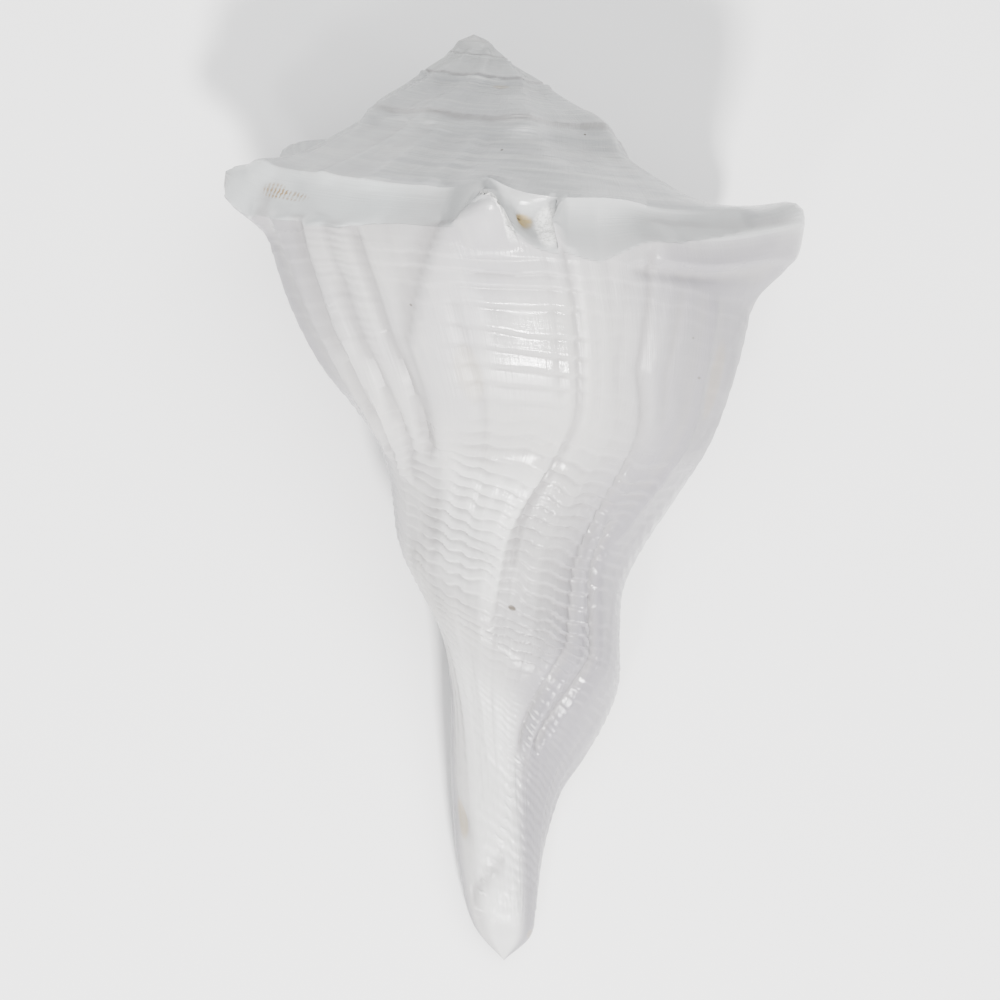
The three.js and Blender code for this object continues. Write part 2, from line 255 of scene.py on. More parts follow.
# ---- The hollow ----
INWARD_SPAN = 1.2  # places either side that give the edge's direction
LEAST_GAP = 0.35  # the hollow keeps this share of the way to the older whorl
KNOB_HOLLOW = 0.1  # turns behind the lip where the knobs stop being hollow
CANAL_CLOSE = 0.42  # turns over which the hollow's lower end draws up
CANAL_DRAWN = 9.5  # places that it draws up
TOP_DROP = 1.1  # places that the upper end comes down
LIP_BLEND = 0.06  # turns behind the lip over which the hollow takes its own form
WALL_THICKENS = 0.25  # turns behind the lip to the full thickness
TIP_TAPER = 2.5  # places before the tip where the wall starts to thin
GLAZE_TAPER = 2
# Where the wall is thicker, behind the cut faces and the dented shoulder: t, place, reach in turns
# and in places, mm.
THICKER = (
    (-0.27, 4.3, 0.12, 2.1, 4.5),
    (-0.10, 0.9, 0.12, 1.6, 2.6),
)


def hollow_end(t):
    return TIP - CANAL_DRAWN * smooth(-t, 0, CANAL_CLOSE)


def hollow_top(t):
    return JOIN + TOP_DROP * smooth(-t, 0, LIP_BLEND)


def wall_face(t, place, walls):
    """The inner face of the wall, one wall's thickness inside the outside."""
    t, place = paired(t, place)
    growth = t + lead(place)
    points = edge(growth)
    run = unit(along(points, np.minimum(place + INWARD_SPAN, TIP))
               - along(points, np.maximum(place - INWARD_SPAN, 0)))
    plain = outline(growth, place, False)
    face = mix(outline(growth, place), plain, smooth(-t, 0, KNOB_HOLLOW)[..., None])
    wall = mix(*walls, smooth(-t, 0, WALL_THICKENS)) * smooth(TIP - place, 0, TIP_TAPER)
    for at, down, wide, tall, more in THICKER:
        patch = bell(t - at, wide, 3) * bell(place - down, tall, 3)
        wall = wall + more * patch * smooth(-t, 0, 0.04)
    face = face + np.stack([run[..., 1], -run[..., 0]], -1) * wall[..., None]
    column = outline(growth - 1, place, False)
    least = column[..., 1] + LEAST_GAP * (plain[..., 1] - column[..., 1])
    face[..., 1] = np.maximum(face[..., 1], least)
    return in_space(face, growth)


def older_face(t, share):
    """The older whorl as seen inside the hollow, under its glaze; share runs top to end."""
    t, share = paired(t, share)
    place = mix(hollow_top(t), hollow_end(t), share)
    growth = t + SUTURE_LEAD - 1 + lead(place)
    face = outline(growth, place)
    face[..., 1] += GLAZE * smooth(-t, 0, LIP_BLEND) * smooth(TIP - place, 0, GLAZE_TAPER)
    return in_space(face, growth)


# ---- Relief ----
# Heights are in mm above the plain form. A fold follows one growth line: its t is given at each of
# FOLD_PLACES, then its half-widths in turns on the older and the newer side, its height, and the
# first and last place it reaches.
FOLD_PLACES = (5, 8, 11, 14, 17)
FOLDS = (
    ((-0.285, -0.287, -0.291, -0.279, -0.270), 0.0030, 0.0045, -0.65, 5.9, 12.4),
    ((-0.297, -0.301, -0.303, -0.300, -0.300), 0.0030, 0.0040, -0.15, 6.0, 8.4),
    ((-0.348, -0.403, -0.400, -0.400, -0.400), 0.0040, 0.0350, 1.30, 5.3, 9.9),
    ((-0.508, -0.498, -0.484, -0.470, -0.460), 0.0085, 0.0090, 1.35, 5.7, 10.8),
    ((-0.486, -0.484, -0.470, -0.450, -0.440), 0.0080, 0.0075, -1.20, 5.9, 10.5),
    ((-0.461, -0.468, -0.455, -0.440, -0.430), 0.0090, 0.0080, 1.75, 5.6, 11.2),
    ((-0.447, -0.453, -0.437, -0.420, -0.410), 0.0035, 0.0035, -0.65, 7.0, 10.4),
    ((-0.426, -0.427, -0.412, -0.400, -0.400), 0.0060, 0.0050, -1.35, 5.9, 10.2),
    ((-0.222, -0.241, -0.208, -0.175, -0.165), 0.0045, 0.0045, -0.70, 5.9, 11.6),
    ((-0.203, -0.230, -0.205, -0.180, -0.170), 0.0035, 0.0080, 0.50, 6.3, 8.8),
    ((-0.186, -0.213, -0.190, -0.170, -0.160), 0.0035, 0.0080, 0.45, 6.4, 8.4),
    ((-0.165, -0.180, -0.160, -0.150, -0.140), 0.0070, 0.0030, 0.60, 6.8, 11.0),
    ((-0.205, -0.205, -0.206, -0.190, -0.212), 0.0045, 0.0045, -0.60, 10.8, 17.2),
    ((-0.195, -0.195, -0.200, -0.172, -0.190), 0.0090, 0.0090, 1.30, 11.2, 17.0),
    ((-0.185, -0.185, -0.185, -0.142, -0.165), 0.0100, 0.0080, -1.30, 11.2, 16.8),
    ((-0.298, -0.298, -0.298, -0.303, -0.303), 0.0500, 0.0040, 1.20, 10.2, 14.2),
    ((-0.260, -0.260, -0.256, -0.248, -0.250), 0.0160, 0.0090, 0.70, 10.6, 13.9),
    ((-0.370, -0.365, -0.352, -0.350, -0.350), 0.0040, 0.0040, -0.25, 7.2, 10.2),
    ((-0.240, -0.258, -0.245, -0.230, -0.230), 0.0040, 0.0120, -0.25, 6.4, 10.5),
    ((-0.430,) * 5, 0.0060, 0.0100, 0.35, 0.8, 3.2),
    ((-0.475,) * 5, 0.0060, 0.0100, 0.45, 0.8, 3.2),
    ((-0.385,) * 5, 0.0050, 0.0080, 0.25, 0.8, 3.0),
)
# Growth lines where the cords run down a little all together.
KINKS = (-0.560, -0.470, -0.405, -0.371, -0.342, -0.297, -0.256, -0.205, -0.150, -0.100)
# Where the keel is cut back to a flat or hollow face. Each face has the slants of its first and last
# side, in turns to the place, and a list of t, the place where its lower edge runs there, and how
# hollow it is there in mm.
FACE_TOP = 3.0
SAG_PEAK = 6.75  # makes share * (1 - share) ** 2 reach 1 at its peak
FACES = (
    (0.0, 0.0, ((-0.590, 4.0, 0), (-0.580, 5.6, 0), (-0.560, 5.9, 0.1), (-0.535, 5.8, 0.2),
                (-0.515, 5.7, 0.4), (-0.478, 5.7, 0.7), (-0.437, 5.7, 0.7), (-0.410, 5.5, 0.5),
                (-0.385, 5.4, 0.4), (-0.366, 5.4, 0.3), (-0.350, 5.4, 0.2), (-0.343, 4.9, 0.1),
                (-0.335, 4.0, 0))),
    (0.0085, 0.0013, ((-0.3265, 4.0, 0), (-0.3250, 5.4, 0.3), (-0.3130, 5.65, 1.5),
                      (-0.3075, 5.75, 2.8), (-0.3020, 5.8, 2.2), (-0.2905, 5.85, 0.2),
                      (-0.2885, 4.0, 0))),
    (0.0, 0.0, ((-0.2880, 4.0, 0), (-0.2850, 5.8, 0.9), (-0.265, 6.0, 1.3), (-0.237, 5.6, 0.9),
                (-0.204, 5.2, 0.4), (-0.170, 4.4, 0.1), (-0.145, 4.0, 0))),
)
# Rounded swellings and dents: t, place, how far they reach in turns and in places, height in mm.
SWELLINGS = (
    (-0.106, 3.60, 0.016, 0.45, 1.5),
    (-0.112, 6.00, 0.016, 0.40, 1.2),
    (-0.600, 2.70, 0.030, 1.00, -1.5),
    (-0.556, 3.30, 0.016, 0.60, 0.9),
    (-0.535, 7.50, 0.020, 3.00, -0.8),
    (-0.100, 0.90, 0.090, 1.00, -2.2),
    (-1.060, 5.00, 0.060, 1.20, -1.8),
    (-0.3085, 4.45, 0.0040, 0.40, -1.4),
    (-0.475, 19.3, 0.050, 0.18, -0.7),
)
SUTURE_WELT = 0.35  # mm, the rolled edge just below the suture
FACE_MIDDLE = 4.7  # the place about which the sides of faces and breaks slant
BROKEN_T = -0.3247  # the middle knob's broken edge
BROKEN_SLANT = 0.0082  # turns to the place
SCAR_T, SCAR_PLACE = -0.288, 19.40  # the repair line on the canal
SCAR_SLANT = 4.6  # places to the turn
RELIEF_WORN = (-3.2, -1.5)  # t over which the relief of the old whorls is worn away
# The spiral cords: places and how many cords lie above each; how many they step down at each kink;
# and how they wander: how many cords, with how many swells to the turn and to the place.
CORD_COUNTS = ((0, 5, 8.5, 10, 22), (0, 14, 23.8, 28.3, 69))
CORD_STEP = 0.6
CORD_WANDER = ((0.42, 13, 0.9), (0.20, 50, 1.6))
CORD_OVERTONES = (1.0, 0.45, 0.2)
# Where cords are high: first and last place, fade, mm, then patches of first and last t, fade, mm.
CORD_ZONES = (
    (6.4, 8.3, 0.8, 0.02, ((-0.380, -0.345, 0.02, 0.055), (-0.340, -0.292, 0.012, 0.12))),
    (10.3, 15.0, 1.3, 0.05, ((-0.435, -0.20, 0.035, 0.15),)),
)
GRAIN = np.random.default_rng(19).uniform(-1, 1, (97, 97))


def grain(x, y):
    """Smooth irregular waviness from -1 to 1, one swell to the unit both ways."""
    x, y = np.broadcast_arrays(x, y)
    column, row = np.floor(x).astype(int), np.floor(y).astype(int)
    u, v = smooth(x - column), smooth(y - row)
    size = len(GRAIN)
    near, far = (mix(GRAIN[column % size, (row + step) % size],
                     GRAIN[(column + 1) % size, (row + step) % size], u) for step in (0, 1))
    return mix(near, far, v)


def between(value, first, last, fade=0.5):
    """1 from first to last, fading to 0 over a little way outside."""
    return smooth(value, first - fade, first) * (1 - smooth(value, last, last + fade))


def cords(t, place):
    """The spiral cords: ridges that run round the shell and step down at the growth lines."""
    number = np.interp(place, *CORD_COUNTS)
    since = np.interp(t, KINKS, range(len(KINKS))) % 1
    number = number + CORD_STEP * (since - smooth(since, 0.45, 1)) * smooth(place, 8, 10)
    for many, turns, places in CORD_WANDER:
        number = number + many * grain(t * turns, place * places)
    phase = 2 * np.pi * number
    wave = -sum(share * np.sin(step * phase) for step, share in enumerate(CORD_OVERTONES, 1))
    height = 0.03 + 0.035 * smooth(place, 16, 17)
    height = height * smooth(place, 5.6, 6.4) * (1 - smooth(place, 20, 21))
    for first, last, fade, high, patches in CORD_ZONES:
        for start, end, soft, more in patches:
            high = high + more * between(t, start, end, soft)
        height = height + high * between(place, first, last, fade)
    beads = between(place, 13.6, 16.4, 0.6) * bell(t + 0.172, 0.012, 2)
    height = (height + 0.26 * beads) * (0.85 + 0.6 * grain(t * 25, place * 1.1 + 7))
    fine = np.sin(2 * phase) * between(place, 5.9, 8.3, 0.5) * bell(t + 0.446, 0.022, 2)
    return wave * height + 0.09 * fine * (1 + grain(t * 90, place * 3))


def growth_lines(t, place):
    """The folds and fine lines left where the lip once stood."""
    height = np.zeros(np.broadcast(t, place).shape)
    for path, older, newer, high, first, last in FOLDS:
        off = t - np.interp(place, FOLD_PLACES, path)
        fold = np.exp(-(off / np.where(off < 0, older, newer)) ** 2)
        height = height + high * fold * between(place, first, last)
    fade = (1 - smooth(place, 17, 20)) * (0.3 + 0.7 * smooth(place, 4, 5.5))
    fade = fade * (1 - 0.9 * between(t, -0.385, -0.295, 0.02) * between(place, 5.5, 9.0, 0.8))
    broad = grain(t * 62 + 0.5 * grain(t * 9, place * 0.6), place * 0.28)
    narrow = grain(t * 150, place * 0.45 + 30)
    return height + (0.20 * broad + 0.08 * narrow) * fade * smooth(place, 0.2, 1)


def relief(t, place):
    """Height in mm of the relief above the plain form."""
    shown = smooth(-t, 0, 0.02) * smooth(t, *RELIEF_WORN)
    block = between(t, -0.215, -0.105, 0.02) * smooth(place, 3.9, 4.6) * (1 - smooth(place, 5.75, 6))
    crease = np.exp(-((place - 6.12) / 0.14) ** 2) * between(t, -0.235, -0.13, 0.012)
    broken = bell(t - BROKEN_T - BROKEN_SLANT * (place - FACE_MIDDLE), 0.0032, 2)
    rough = grain(t * 420, place * 7) * broken
    rough = (0.7 * rough + 0.25 * np.abs(rough)) * between(place, 3.9, 5.4, 0.3)
    height = 0.7 * (block - crease) + rough
    seam = place - 0.12 * grain(t * 45, 3)
    height = height + SUTURE_WELT * (bell(seam - 0.55, 0.22, 2) - bell(seam, 0.25, 2))
    scar = place - SCAR_PLACE - SCAR_SLANT * (SCAR_T - t) - 0.10 * grain(t * 16, 40)
    height = height - 0.40 * bell(scar, 0.17, 2) * between(t, -0.455, -0.300, 0.02)
    for at, down, wide, tall, high in SWELLINGS:
        height = height + high * np.exp(-((t - at) / wide) ** 2 - ((place - down) / tall) ** 2)
    return (height + cords(t, place) + growth_lines(t, place)) * shown


def faced(points, t, place):
    """Cuts the keel back to the flat and hollow faces beside the knobs, and tells where it did."""
    normal = away(points)
    rows = np.arange(len(place[0]), dtype=float)
    cut = np.zeros(points.shape[:2])
    for first, final, table in FACES:
        marks = np.array(table).T
        slant = np.interp(t, (marks[0, 0], marks[0, -1]), (first, final))
        slid = t - slant * (place - FACE_MIDDLE)
        last = np.interp(slid, marks[0], marks[1], left=0, right=0)
        sag = np.interp(slid, marks[0], marks[2])
        down = (place - FACE_TOP) / np.maximum(last - FACE_TOP, 0.01)
        inside = (down > 0) & (down < 1) & (last > KEEL)
        for column in np.flatnonzero(inside.any(1)):
            at = inside[column]
            low_row = np.interp(last[column, at], place[0], rows)
            top = points[column, np.searchsorted(place[0], FACE_TOP)]
            low = np.stack([np.interp(low_row, rows, side) for side in points[column].T], -1)
            share = down[column, at][:, None]
            turned = unit(normal[column, at].mean(0))
            hollow = sag[column, at][:, None] * SAG_PEAK * share * (1 - share) ** 2
            points[column, at] = mix(top, low, share) - turned * hollow
            cut[column, at] = 1
    return points, cut


# ---- Grids of the surface ----
HOLLOW_SHIFT = 3.0  # added to t on the hollow, so that the finish can tell it
RIM_SHIFT = 2.0
WORN_FLAT = 0.0006  # m, how deep the flats under the shell are rubbed
BODY_COLUMNS = 200
CAVITY_COLUMNS = 18
DEPTH_POWER = 1.25  # crowds the hollow's columns at the lip
BODY_FIT = 0.05  # turns behind the lip over which the hollow leaves the body's own edge
MEETING = 0.85  # share of the rows from where the wall's two faces close on each other
END_ROUND = 0.8  # share of the hollow's depth from where its end rounds off
RIM_COLUMNS = 4
SPIRE_TURNS = 4.2
CROWDING = 0.09  # how strongly columns crowd round the middle knob, in turns
MIDDLE_KNOB_T = -0.333
FLUSH = ((0.75, (0.9, 1.1)), (0.2, (1.3, 1.8)))  # how flat old ramps are, and from which turns
SPIRE_NARROW = 0.13
GROUND_REACH = 4  # columns and rows to either side that make the ground round a spot
DEEP_RECESS = 0.3  # mm
DOME_HEIGHT = 4.2  # mm of the apex that are rounded
DOME_SPREAD = 0.95
RAMP_AT = np.concatenate([np.linspace(0, 1, 7), np.linspace(1, 3, 7)[1:],
                          np.linspace(3, JOIN, 11)[1:]])
BODY_AT = np.concatenate([np.linspace(JOIN, 16.4, 269), np.linspace(16.4, TIP, 44)[1:]])


def column_t(columns):
    """Growth of each column, from the lip back; columns crowd where the middle knob stands."""
    period = 1 - SUTURE_LEAD
    plain = -columns * period / BODY_COLUMNS
    phase = 2 * np.pi * (plain - MIDDLE_KNOB_T) / period
    start = -2 * np.pi * MIDDLE_KNOB_T / period
    return plain - CROWDING * (np.sin(phase) - np.sin(start))


def away(points):
    """Outward normals of a grid of points, columns from the lip back and rows down."""
    return unit(np.cross(np.gradient(points, axis=0), np.gradient(points, axis=1)))


def recesses(height):
    """How far each spot of a relief lies below the ground round it, 0 to 1, where the finish paints
    shade.
    """
    ground = height
    steps = range(-GROUND_REACH, GROUND_REACH + 1)
    for axis in (0, 1):
        ground = sum(np.roll(ground, step, axis) for step in steps) / len(steps)
    return np.clip((ground - height) / DEEP_RECESS, 0, 1)


def settled(ramp, t):
    """Lets the old whorls lie flush on one another, slims the spire and rounds the apex."""
    share = (RAMP_AT / JOIN)[None, :, None]
    cone = mix(ramp[:, :1], ramp[:, -1:], share)
    flush = sum(part * smooth(-t, *turns) for part, turns in FLUSH)
    ramp = mix(ramp, cone, flush[..., None])
    radius = np.hypot(ramp[..., 0], ramp[..., 2])
    wider = 1 - SPIRE_NARROW * (1 - smooth(radius, 8, 27))
    down = np.clip(-ramp[..., 1], 0, DOME_HEIGHT)
    dome = np.sqrt(down * (2 * DOME_HEIGHT - down)) * DOME_SPREAD
    wider = np.maximum(wider, dome / np.maximum(radius, 0.3) * smooth(-t, 1.8, 2.3))
    return ramp * np.stack([wider, np.ones_like(wider), wider], -1)


def outer_sheets(strength):
    """The ramps of every whorl and the body below them, as two grids that share their join."""
    columns = int(round(SPIRE_TURNS / (1 - SUTURE_LEAD) * BODY_COLUMNS))
    t = column_t(np.arange(columns + 1.0))[:, None]
    body_t = t[:BODY_COLUMNS + 1]
    whole_at = np.concatenate([RAMP_AT, BODY_AT[1:]])[None]
    ramp = settled(outside(t, RAMP_AT[None]), t)
    whole = outside(body_t, whole_at)
    whole[:, :len(RAMP_AT)] = ramp[:BODY_COLUMNS + 1]
    ramp_relief = strength * relief(t, RAMP_AT[None])
    whole_relief = strength * relief(body_t, whole_at)
    whole_away = away(whole)
    whole, cut = faced(whole, body_t, whole_at)
    whole += whole_away * whole_relief[..., None]
    ramp += away(ramp) * ramp_relief[..., None]
    ramp[:BODY_COLUMNS + 1] = whole[:, :len(RAMP_AT)]
    body = whole[:, len(RAMP_AT) - 1:]
    body[:, -1] = body[:, -1].mean(0)
    ramp[:columns + 1 - BODY_COLUMNS, 0] = ramp[BODY_COLUMNS:, -1]
    body[:, 0] = ramp[:BODY_COLUMNS + 1, -1]
    ramp_cut = np.zeros(ramp.shape[:2])
    ramp_cut[:BODY_COLUMNS + 1] = cut[:, :len(RAMP_AT)]
    whole_marks = np.stack([recesses(whole_relief), cut], -1)[:, len(RAMP_AT) - 1:]
    return t, ramp, body, np.stack([recesses(ramp_relief), ramp_cut], -1), whole_marks


def hollow_ring(t, walls):
    """One ring of the hollow for each t: down the wall's inner face, then up the older whorl."""
    t = np.asarray(t, float)[:, None]
    end = hollow_end(t)
    ramp = np.broadcast_to(RAMP_AT, (len(t), len(RAMP_AT)))
    share = ((BODY_AT - JOIN) / (TIP - JOIN))[None]
    wall = wall_face(t, np.concatenate([ramp, (JOIN + (end - JOIN) * share)[:, 1:]], 1), walls)
    older = older_face(t, share[:, ::-1])
    ring = np.concatenate([wall, older[:, 1:]], 1)
    meeting = (wall[:, -1:] + older[:, :1]) / 2
    rows = np.arange(ring.shape[1])
    near = 1 - np.abs(rows - (wall.shape[1] - 1)) / (len(BODY_AT) - 1)
    drawn = smooth(near, MEETING, 1)[None, :] * smooth(-t, 0, LIP_BLEND)
    ring = mix(ring, meeting, drawn[..., None])
    ring[:, 0] = ring[:, -1]
    return ring


def hollow_sheet(body, walls):
    """The whole hollow, from the lip to its round end, meeting the body where it comes out."""
    depth = np.linspace(0, 1, CAVITY_COLUMNS + 1) ** DEPTH_POWER
    t = -CAVITY_DEPTH * depth
    ring = hollow_ring(t, walls)
    change = body[-1, ::-1] - ring[0, -len(BODY_AT):]
    fade = (1 - smooth(-t, 0, BODY_FIT))[:, None, None]
    ring[:, -len(BODY_AT):] += change[None] * fade
    ring[:, 0] = ring[:, -1]
    wall_rows = len(RAMP_AT) + len(BODY_AT) - 2
    middle = (ring[:, wall_rows - len(BODY_AT) // 2] + ring[:, wall_rows + len(BODY_AT) // 2]) / 2
    narrow = 1 - np.sqrt(1 - np.clip((depth - END_ROUND) / (1 - END_ROUND), 0, 1) ** 2)
    return t, mix(ring, middle[:, None], narrow[:, None, None])


def lip_rim(ramp, body, ring):
    """The rounded edge of the lip, from the inner face to the outside."""
    outer = np.concatenate([ramp[0], body[0, 1:]])
    inner = ring[0, :len(outer)]
    middle = (outer + inner) / 2
    ahead = unit(np.concatenate([ramp[0] - ramp[2], (body[0] - body[2])[1:]]))
    half = np.linalg.norm(outer - inner, axis=-1, keepdims=True) / 2
    turn = np.linspace(np.pi, 0, RIM_COLUMNS + 1)[:, None, None]
    return middle + (outer - middle) * np.cos(turn) + ahead * half * np.sin(turn)


def apex_fans(ramp):
    """Two small fans that close the apex inside the first whorl."""
    apex = np.zeros(3)
    edge_row = ramp[len(ramp) - 1 - BODY_COLUMNS:, 0]
    over = np.stack([np.broadcast_to(apex, edge_row.shape), edge_row], 1)
    start = np.stack([ramp[-1], np.broadcast_to(apex, ramp[-1].shape)])
    return over, start


def rest_turn():
    """From the shell's own frame to how it lies."""
    about_x, about_y = (radians(turn) for turn in REST_TURNS)
    return Matrix.Rotation(about_x, 3, "X") @ Matrix.Rotation(about_y, 3, "Y")


def laid(points, length):
    """Turned to lie as the shell rests, in metres, for a shell of this length."""
    return points @ np.array(rest_turn()).T * (length / LENGTH)


def grid_patch(name, points, place, t, marks):
    """A grid primitive whose corners are set on the points of one patch."""
    rows, columns = shape = points.shape[:2]
    bpy.ops.mesh.primitive_grid_add(x_subdivisions=columns - 1, y_subdivisions=rows - 1, size=1)
    piece = bpy.context.object
    piece.name = name
    mesh = piece.data
    mesh.vertices.foreach_set("co", np.ascontiguousarray(points).reshape(-1))
    corners = np.empty(len(mesh.loops), np.int32)
    mesh.loops.foreach_get("vertex_index", corners)
    layer = mesh.uv_layers[0]
    layer.name = "growth"
    growth = np.stack([np.broadcast_to(place, shape), np.broadcast_to(t, shape)], -1)
    layer.data.foreach_set("uv", growth.reshape(-1, 2)[corners].reshape(-1))
    marks = np.broadcast_to(marks, (*shape, 2)).astype(float)
    # The recess depth is stored for the painted shade in the recesses, and cut marks the cut faces.
    for number, mark in enumerate(("recess_shade", "cut")):
        layer = mesh.attributes.new(mark, "FLOAT", "POINT")
        layer.data.foreach_set("value", np.ascontiguousarray(marks[..., number]).reshape(-1))
    return piece


def place_on_table(points):
    """The move that centres the laid points on the frame and lets them sink a hair into the table."""
    low, high = points.min(0), points.max(0)
    centre = (np.array(CAD_LOW) + CAD_HIGH - low - high) / 2
    return np.array([centre[0], centre[1], -low[2] - WORN_FLAT])


def grow_sheets(settings):
    """Every patch of the surface: name, points, place, t and marks."""
    t, ramp, body, ramp_marks, body_marks = outer_sheets(settings.relief)
    hollow_t, ring = hollow_sheet(body, (settings.lip_wall / MM, settings.inner_wall / MM))
    rim = lip_rim(ramp, body, ring)
    over, start = apex_fans(ramp)
    rim_at = np.concatenate([RAMP_AT, BODY_AT[1:]])
    ring_at = np.concatenate([rim_at, BODY_AT[::-1][1:]])
    return (
        ("ramps", ramp, RAMP_AT[None], t, ramp_marks),
        ("body", body, BODY_AT[None], t[:BODY_COLUMNS + 1], body_marks),
        ("hollow", ring[::-1], ring_at[None], hollow_t[::-1, None] + HOLLOW_SHIFT, 0.0),
        ("rim", rim, rim_at[None], RIM_SHIFT, 0.0),
        ("apex over", over, 0.0, t[-len(over):], 0.0),
        ("apex start", start, RAMP_AT[None], t[-1], 0.0),
    )


def sew(pieces):
    """Joins the patches, merges their shared edges and rubs the flats that the shell lies on."""
    bpy.ops.object.select_all(action="DESELECT")
    for piece in pieces:
        piece.select_set(True)
    bpy.context.view_layer.objects.active = pieces[0]
    bpy.ops.object.join()
    shell = bpy.context.object
    shell.name = "conch_shell"
    bpy.ops.object.mode_set(mode="EDIT")
    bpy.ops.mesh.select_all(action="SELECT")
    bpy.ops.mesh.remove_doubles(threshold=2e-6)
    bpy.ops.mesh.dissolve_degenerate(threshold=1e-6)
    bpy.ops.mesh.select_all(action="SELECT")
    bpy.ops.mesh.bisect(plane_co=(0, 0, 0), plane_no=(0, 0, 1), clear_inner=True, use_fill=True)
    bpy.ops.mesh.select_all(action="SELECT")
    bpy.ops.mesh.normals_make_consistent(inside=False)
    bpy.ops.object.mode_set(mode="OBJECT")
    bpy.ops.object.shade_smooth_by_angle(angle=radians(55))
    return shell


# ---- Finish, stage and camera ----

class Nodes:
    """Short calls for building a material's nodes."""

    def __init__(self, material):
        material.use_nodes = True
        self.tree = material.node_tree
        self.shader = self.tree.nodes["Principled BSDF"]

    def add(self, kind, *inputs, **settings):
        node = self.tree.nodes.new(kind)
        for name, value in settings.items():
            setattr(node, name, value)
        for index, value in enumerate(inputs):
            if value is not None:
                self.put(node.inputs[index], value)
        return node

    def put(self, socket, value):
        if isinstance(value, bpy.types.NodeSocket):
            self.tree.links.new(value, socket)
        else:
            socket.default_value = value

    def math(self, operation, *inputs):
        return self.add("ShaderNodeMath", *inputs, operation=operation).outputs[0]

    def plus(self, *values):
        return reduce(partial(self.math, "ADD"), values)

    def times(self, *values):
        return reduce(partial(self.math, "MULTIPLY"), values)

    def ramp(self, value, low, high, to_low=0.0, to_high=1.0):
        node = self.add("ShaderNodeMapRange", interpolation_type="SMOOTHSTEP")
        for socket, number in zip(node.inputs, (value, low, high, to_low, to_high)):
            self.put(socket, number)
        return node.outputs[0]

    def blend(self, share, first, second):
        node = self.add("ShaderNodeMix", data_type="RGBA")
        for index, value in ((0, share), (6, first), (7, second)):
            self.put(node.inputs[index], value)
        return node.outputs[2]

    def noise(self, vector, scale, detail=2.0, rough=0.5):
        node = self.add("ShaderNodeTexNoise")
        values = {"Vector": vector, "Scale": scale, "Detail": detail, "Roughness": rough}
        for name, value in values.items():
            self.put(node.inputs[name], value)
        return node.outputs[0]

    def vector(self, x, y):
        return self.add("ShaderNodeCombineXYZ", x, y).outputs[0]


def rgb(*values):
    return (*values, 1.0)


BODY_COLOUR = (0.465, 0.455, 0.445)
CLOUD_COLOUR = (0.40, 0.388, 0.402)
# The spire's colour is partly painted shade: darker and greyer than the body, as the ramp faces up
# away from the lights.
RAMP_COLOUR_WITH_SHADE = (0.405, 0.427, 0.433)
# The flanks' colour is painted shade: the lavender grey of sides that turn away from the lights.
FLANK_SHADE_COLOUR = (0.205, 0.195, 0.218)
HOLLOW_COLOUR = (0.76, 0.71, 0.64)
STAIN_COLOUR = (0.36, 0.265, 0.10)
KEY_POWER = 40.0
SOFT_POWER = 70.0
VIEW_CENTRE = np.array([4.62, -82.3, 0.0])  # mm in the shell's own frame, where the camera aims

# Marks of age: t, place, how far they reach in turns and in places, and how strong they are.
TAN_MARKS = (
    (-0.3085, 4.42, 0.0056, 0.50, 1.00),
    (-1.3170, 1.24, 0.0220, 0.25, 0.35),
    (-0.4750, 19.3, 0.0400, 0.25, 0.45),
    (-0.1590, 8.00, 0.0120, 0.80, 0.22),
    (-0.3670, 8.40, 0.0120, 0.60, 0.16),
    (-0.1300, 20.9, 0.0500, 0.20, 0.30),
)
PORES = (
    (-0.3102, 4.42, 0.0022, 0.14, 0.9),
    (-0.2770, 13.67, 0.0065, 0.085, 1.0),
    (-0.3520, 1.43, 0.0016, 0.05, 1.0),
    (-0.2560, 0.42, 0.0020, 0.05, 1.0),
    (-0.3980, 7.27, 0.0014, 0.03, 0.8),
    (-0.1960, 7.34, 0.0016, 0.03, 0.6),
    (-0.1850, 8.00, 0.0016, 0.03, 0.6),
)
CRACKS = ((-0.530, 4.32, 0.020, 0.50, 1.0), (-0.508, 4.42, 0.028, 0.32, 0.8))
CHALKY_WALL = ((-0.2965, 4.5, 0.0085, 1.25, 0.9),)
# The row of beads on the canal, seen from above: metres across at the frame's middle, and its slant.
PEARLS_ACROSS, PEARLS_SLANT = 0.0115, 0.259
BUMP_HEIGHT = 0.00012  # m
# The band below the middle knob that is lit: its middle t, and where it fades out in turns.
LIT_T, LIT_FADE = -0.318, (0.022, 0.036)


